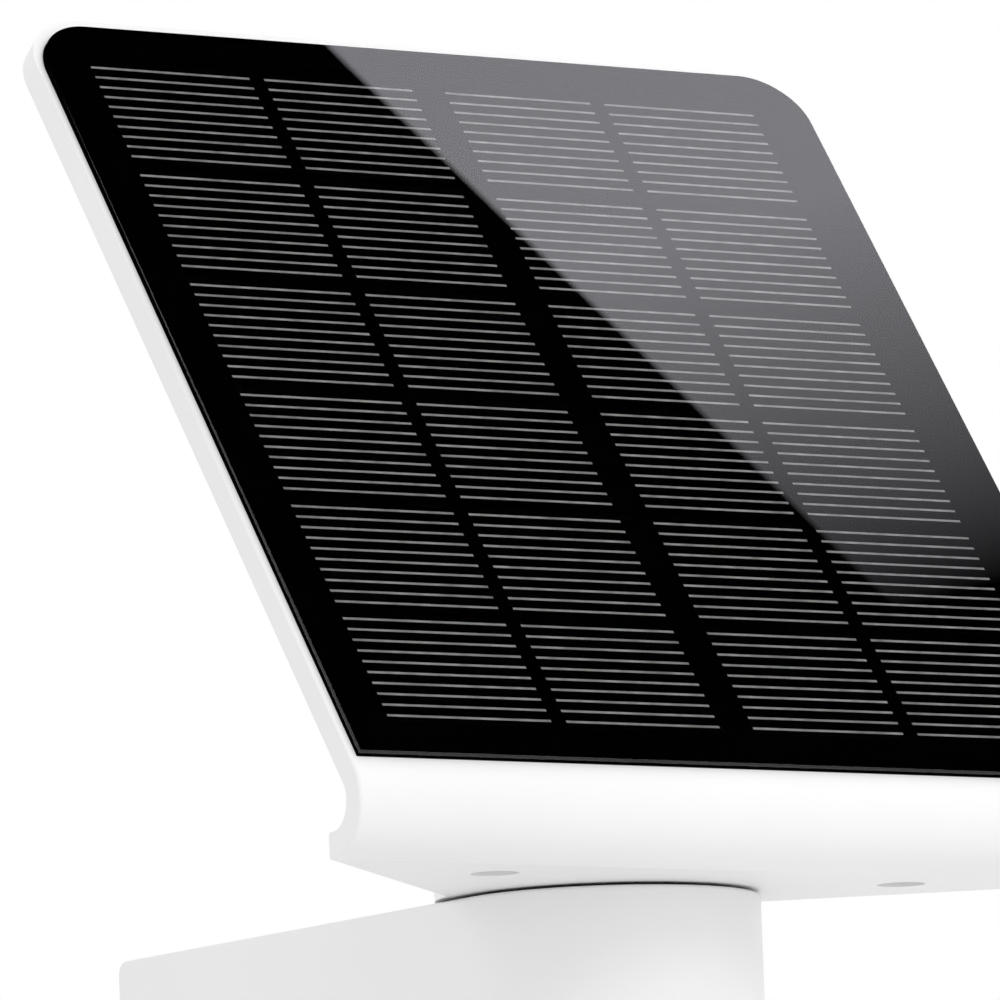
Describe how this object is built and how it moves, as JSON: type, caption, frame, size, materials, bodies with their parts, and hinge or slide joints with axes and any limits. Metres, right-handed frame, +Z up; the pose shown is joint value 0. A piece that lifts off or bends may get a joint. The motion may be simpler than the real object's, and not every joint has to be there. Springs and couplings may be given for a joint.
{
  "type": "solar-powered security camera",
  "caption": "Slanted black solar panel on a white bent-plate head that swivels on a round-fronted wall bracket, with a pan and tilt camera ball below.",
  "frame": {"origin": "middle of the bracket's mounting face, on the wall", "axes": "+Y back into the wall, +Z up, +X to the right seen from the front"},
  "size_m": [0.187, 0.1983, 0.2945],
  "materials": {
    "white_housing": "satin moulded white",
    "white_cover": "satin moulded white",
    "panel_glass": "polished black",
    "black_plastic": "fine matt black",
    "black_rubber": "matt",
    "cell_silicon": "blue-black silicon with silver lines",
    "dark_nylon": "glass-filled nylon",
    "acetal": "natural acetal",
    "steel": "zinc plated",
    "spring_steel": "bright",
    "circuit_board": "solder mask",
    "chip_plastic": "moulded epoxy",
    "battery_sleeve": "shrink sleeve",
    "antenna_film": "copper on film",
    "sensor_lens": "milky polyethylene",
    "sensor_can": "nickel",
    "grey_plastic": "fine matt grey",
    "light_pipe": "clear",
    "dark_window": "polished smoked acrylic",
    "lens_glass": "coated",
    "lamp_dome": "clear epoxy",
    "white_connector": "nylon"
  },
  "bodies": {
    "bracket": {"bracket_shell": "white_housing", "bracket_base": "white_cover", "base_screws": "steel", "base_seal": "black_rubber", "wall_plate": "steel", "lock_screws": "steel", "swivel_washer": "black_rubber", "swivel_bush": "acetal", "pan_bush": "acetal", "battery_cells": "battery_sleeve", "battery_holder": "black_plastic", "main_board": "circuit_board", "board_chips": "chip_plastic", "board_screws": "steel", "panel_socket": "white_connector", "wifi_antenna": "antenna_film", "pir_lens": "sensor_lens", "pir_bezel": "white_cover", "pir_sensor": "sensor_can", "speaker": "black_plastic", "port_board": "circuit_board", "usb_port": "spring_steel", "card_socket": "spring_steel", "memory_card": "black_plastic", "status_lens": "light_pipe", "power_switch": "black_plastic", "door_pin": "steel"},
    "solar_head": {"head_shell": "white_housing", "panel_back_cover": "white_cover", "panel_back_screws": "steel", "solar_glass": "panel_glass", "panel_gasket": "black_rubber", "cell_board": "black_plastic", "solar_cells": "cell_silicon", "junction_block": "black_plastic", "tongue_cover": "white_cover", "tongue_screws": "steel", "swivel_spigot": "dark_nylon", "spigot_screws": "steel", "wave_washer": "spring_steel", "spigot_nut": "dark_nylon", "solar_lead": "black_rubber", "lead_grommet": "black_rubber"},
    "power_button": {"power_button": "grey_plastic"},
    "port_door": {"port_door": "white_cover"},
    "camera_pan": {"pan_yoke": "white_housing", "pan_spigot": "dark_nylon", "pan_screws": "steel", "pan_nut": "dark_nylon", "yoke_caps": "grey_plastic"},
    "camera_tilt": {"ball_front": "white_housing", "ball_rear": "white_cover", "ball_screws": "steel", "tilt_pins": "steel", "window_ring": "black_plastic", "lens_window": "dark_window", "lens_barrel": "black_plastic", "lens_elements": "lens_glass", "lamp_board": "circuit_board", "camera_lamps": "lamp_dome"}
  },
  "joints": [
    {"name": "head_swivel", "type": "hinge", "parent": "bracket", "child": "solar_head", "pos_m": [0, -0.137, 0.0254], "axis": [0, 0, 1], "range_deg": [-90, 90]},
    {"name": "camera_pan", "type": "hinge", "parent": "bracket", "child": "camera_pan", "pos_m": [0, -0.137, -0.026], "axis": [0, 0, 1], "range_deg": [-170, 170]},
    {"name": "camera_tilt", "type": "hinge", "parent": "camera_pan", "child": "camera_tilt", "pos_m": [0, -0.137, -0.061], "axis": [1, 0, 0], "range_deg": [-30, 75]},
    {"name": "power_press", "type": "slide", "parent": "bracket", "child": "power_button", "axis": [0, 0, 1], "range_m": [0, 0.001], "stiffness_N_per_m": 800},
    {"name": "door_hinge", "type": "hinge", "parent": "bracket", "child": "port_door", "pos_m": [0, -0.084, -0.0234], "axis": [1, 0, 0], "range_deg": [0, 95]}
  ]
}
